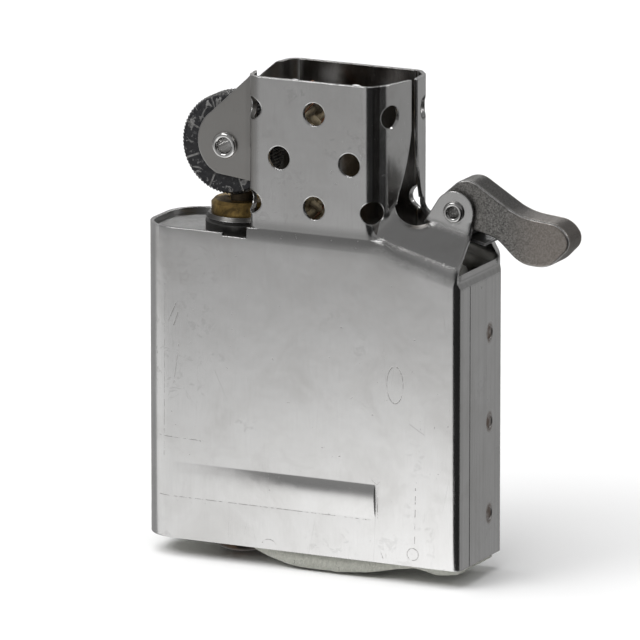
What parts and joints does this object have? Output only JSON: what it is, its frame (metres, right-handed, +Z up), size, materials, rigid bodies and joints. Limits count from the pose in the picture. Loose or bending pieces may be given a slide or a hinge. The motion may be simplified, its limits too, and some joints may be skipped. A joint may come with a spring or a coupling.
{
  "type": "lighter insert",
  "caption": "Insert of a flip-top petrol lighter: sheet-steel tank with perforated chimney, flint wheel, lid cam, brass flint tube and screw, wick, cotton and felt.",
  "frame": {"origin": "on the felt's resting face, under the middle of the tank", "axes": "+Z up along the chimney, +X towards the lid cam, -Y out of the front face"},
  "size_m": [0.0463, 0.011, 0.0507],
  "materials": {
    "stainless": "satin brushed stainless sheet",
    "stainless_plate": "satin stainless sheet",
    "dark_steel": "dark tumbled steel",
    "brass_tube": "turned brass, tarnished",
    "flint_grey": "sintered, grainy",
    "brass_tip": "turned brass",
    "spring_steel": "drawn wire",
    "brass_screw": "knurled brass, tarnished",
    "wheel_steel": "blackened hardened steel, worn teeth",
    "nickel_rivet": "bright nickel",
    "sintered_steel": "sintered steel, fine grain",
    "nickel_cam_rivet": "bright nickel",
    "leaf_steel": "spring steel strip",
    "wick_fibre": "braided fibre, scorched at the top",
    "copper_wire": "copper strand",
    "felt": "pressed wool felt",
    "felt_free_end": "pressed wool felt",
    "cotton": "loose cotton"
  },
  "bodies": {
    "tank": {"tank_body": "stainless", "top_plate": "stainless_plate", "tube_flange": "dark_steel", "flint_tube": "brass_tube", "wheel_rivet": "nickel_rivet", "cam_rivet": "nickel_cam_rivet", "felt_pad": "felt", "cotton_wad_1": "cotton", "cotton_wad_2": "cotton", "cotton_wad_3": "cotton", "cotton_wad_4": "cotton", "cotton_wad_5": "cotton"},
    "wheel": {"striker_wheel": "wheel_steel"},
    "cam": {"cam": "sintered_steel"},
    "leaf": {"cam_spring": "leaf_steel"},
    "flint_rod": {"flint": "flint_grey", "flint_spring_tip": "brass_tip"},
    "spring_carrier": {"flint_spring": "spring_steel"},
    "flint_screw": {"flint_screw": "brass_screw"},
    "wick": {"wick": "wick_fibre", "wick_wire": "copper_wire"},
    "felt_flap": {"felt_flap": "felt_free_end"}
  },
  "joints": [
    {"name": "wheel_spin", "type": "hinge", "parent": "tank", "child": "wheel", "pos_m": [-0.0096, 0, 0.0426], "axis": [0, 1, 0], "continuous": true},
    {"name": "cam_swing", "type": "hinge", "parent": "tank", "child": "cam", "pos_m": [0.0159, 0, 0.0382], "axis": [0, -1, 0], "range_deg": [0, 100]},
    {"name": "leaf_flex", "type": "hinge", "parent": "tank", "child": "leaf", "pos_m": [0.0076, 0, 0.03318], "axis": [0, 1, 0], "range_deg": [0, 4], "stiffness_Nm_per_rad": 0.5},
    {"name": "flint_press", "type": "slide", "parent": "tank", "child": "flint_rod", "axis": [0, 0, -1], "range_m": [0, 0.001], "stiffness_N_per_m": 400, "deforming": ["flint_spring"]},
    {"name": "screw_travel", "type": "slide", "parent": "tank", "child": "spring_carrier", "axis": [0, 0, -1], "range_m": [0, 0.004]},
    {"name": "screw_turn", "type": "hinge", "parent": "spring_carrier", "child": "flint_screw", "pos_m": [-0.0086, 0, 0.004], "axis": [0, 0, -1], "range_deg": [0, 2880]},
    {"name": "wick_pull", "type": "slide", "parent": "tank", "child": "wick", "axis": [0, 0, 1], "range_m": [0, 0.004]},
    {"name": "felt_lift", "type": "hinge", "parent": "tank", "child": "felt_flap", "pos_m": [0.00406, 0, 0], "axis": [0, 1, 0], "range_deg": [0, 70]}
  ],
  "couplings": [
    {"joint": "screw_turn", "follows": "screw_travel", "rad_per_m": 12566}
  ]
}
